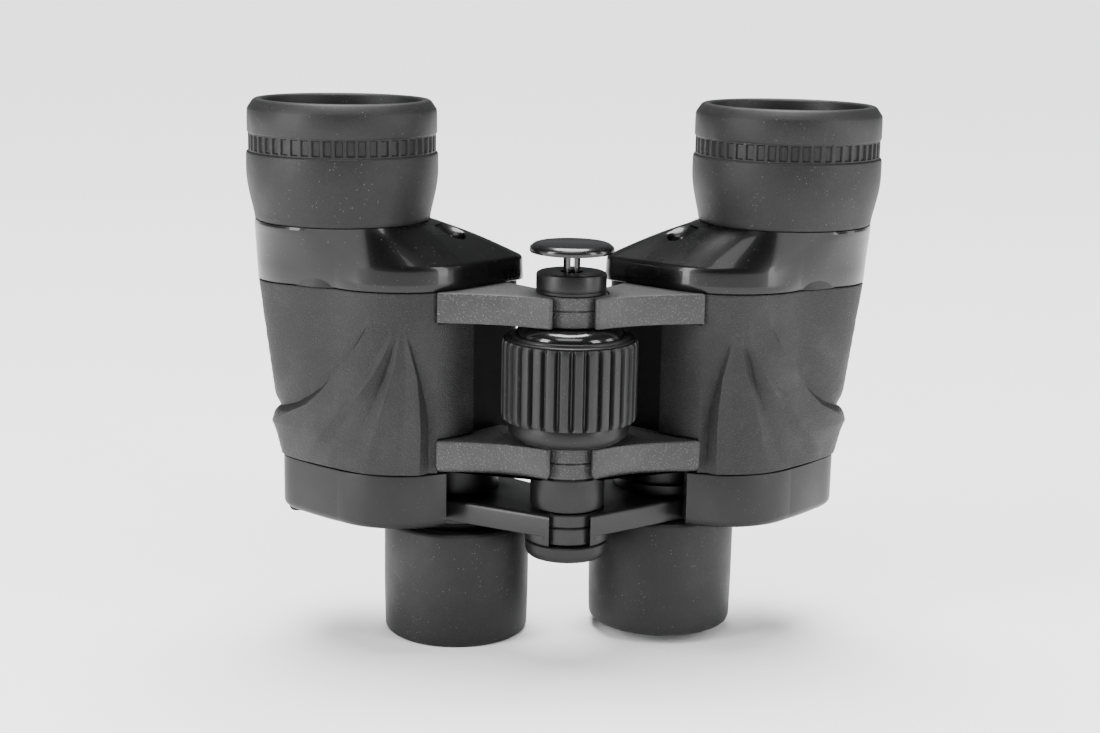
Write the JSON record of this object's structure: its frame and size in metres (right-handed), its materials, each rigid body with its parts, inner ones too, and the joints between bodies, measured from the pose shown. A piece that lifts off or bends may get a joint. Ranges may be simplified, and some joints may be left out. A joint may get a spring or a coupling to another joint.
{
  "type": "binoculars",
  "caption": "Porro prism binoculars standing on their eyecups, with rubber armour, a ribbed centre focus wheel, folding hinge and focusing eyepiece bridge.",
  "frame": {"origin": "middle of the outer size, at the height of the left eyecup's rim, where the part stands", "axes": "+Z from the eyecups to the objectives, +X to the right half, -Y to the focus wheel side"},
  "size_m": [0.1774, 0.0676, 0.1528],
  "materials": {
    "bare_housing": "black painted casting",
    "body_rubber": "fine-grained moulded rubber",
    "ring_rubber": "matte moulded rubber",
    "eyecup_rubber": "soft matte rubber",
    "grip_rubber": "ribbed rubber",
    "gloss_hood": "glossy black",
    "gloss_trim": "glossy black",
    "gloss_cap": "glossy black",
    "satin_black": "satin black",
    "satin_arm": "satin black paint",
    "crinkle_paint": "coarse crinkle paint",
    "black_anodised": "black anodised",
    "spring_steel": "bright",
    "black_screw": "blackened",
    "prism_glass": "clear polished",
    "coated_glass": "clear with a violet-green coating"
  },
  "bodies": {
    "left_half": {"left_housing": "bare_housing", "left_armour": "body_rubber", "left_objective_cover": "gloss_hood", "left_eyepiece_cover": "satin_black", "left_upper_prism": "prism_glass", "left_lower_prism": "prism_glass", "left_prism_clips": "spring_steel", "left_objective_tube": "satin_black", "left_objective_ring": "ring_rubber", "left_objective_cell": "black_anodised", "left_objective_crown": "coated_glass", "left_objective_flint": "prism_glass", "left_objective_retainer": "black_anodised", "left_guide_tube": "black_anodised", "left_upper_hinge_arm": "crinkle_paint", "left_lower_hinge_arm": "crinkle_paint", "left_strap_lug": "satin_black", "left_cover_screw": "black_screw", "hinge_pin": "black_anodised", "hinge_collar": "satin_black", "hinge_tube": "black_anodised", "lower_sleeve": "satin_black"},
    "right_half": {"right_housing": "bare_housing", "right_armour": "body_rubber", "right_objective_cover": "gloss_hood", "right_eyepiece_cover": "satin_black", "right_upper_prism": "prism_glass", "right_lower_prism": "prism_glass", "right_prism_clips": "spring_steel", "right_objective_tube": "satin_black", "right_objective_ring": "ring_rubber", "right_objective_cell": "black_anodised", "right_objective_crown": "coated_glass", "right_objective_flint": "prism_glass", "right_objective_retainer": "black_anodised", "right_guide_tube": "black_anodised", "right_upper_hinge_arm": "crinkle_paint", "right_lower_hinge_arm": "crinkle_paint", "right_strap_lug": "satin_black", "right_cover_screw": "black_screw"},
    "focus_wheel": {"focus_wheel_hub": "satin_black", "focus_wheel_grip": "grip_rubber", "focus_wheel_trim": "gloss_trim"},
    "left_eyepiece": {"left_bridge_arm": "satin_arm", "left_eyepiece_barrel": "black_anodised", "left_eye_lens": "coated_glass", "left_field_lens": "prism_glass", "left_lens_retainer": "black_anodised", "left_eyecup": "eyecup_rubber", "focus_rod": "spring_steel", "bridge_cap": "satin_black", "bridge_screw": "black_screw"},
    "right_bridge": {"right_bridge_arm": "satin_arm"},
    "right_lens_barrel": {"right_eyepiece_barrel": "black_anodised", "right_eye_lens": "coated_glass", "right_field_lens": "prism_glass", "right_lens_retainer": "black_anodised"},
    "right_eyecup": {"right_eyecup": "eyecup_rubber"},
    "socket_cap": {"socket_cap": "gloss_cap"}
  },
  "joints": [
    {"name": "fold", "type": "hinge", "parent": "left_half", "child": "right_half", "pos_m": [0, -0.01515, 0], "axis": [0, 0, -1], "range_deg": [-9, 42]},
    {"name": "focus_turn", "type": "hinge", "parent": "left_half", "child": "focus_wheel", "pos_m": [0, -0.01515, 0], "axis": [0, 0, 1], "range_deg": [-450, 18]},
    {"name": "focus_left", "type": "slide", "parent": "left_half", "child": "left_eyepiece", "axis": [0, 0, 1], "range_m": [-0.00752, 0.00032]},
    {"name": "focus_right", "type": "slide", "parent": "right_half", "child": "right_bridge", "axis": [0, 0, 1], "range_m": [-0.00752, 0.00032]},
    {"name": "diopter_turn", "type": "hinge", "parent": "right_lens_barrel", "child": "right_eyecup", "pos_m": [0.0299, 0.00805, 0.02], "axis": [0, 0, 1], "range_deg": [-168, 6]},
    {"name": "diopter_travel", "type": "slide", "parent": "right_bridge", "child": "right_lens_barrel", "axis": [0, 0, 1], "range_m": [-0.00422, 0.00017]},
    {"name": "cap_pull", "type": "slide", "parent": "left_half", "child": "socket_cap", "axis": [0, 0, 1], "range_m": [-0.005, 0.0022]}
  ],
  "couplings": [
    {"joint": "focus_left", "follows": "focus_turn", "m_per_rad": 0.00095493},
    {"joint": "focus_right", "follows": "focus_turn", "m_per_rad": 0.00095493},
    {"joint": "diopter_travel", "follows": "diopter_turn", "m_per_rad": 0.0014324}
  ]
}
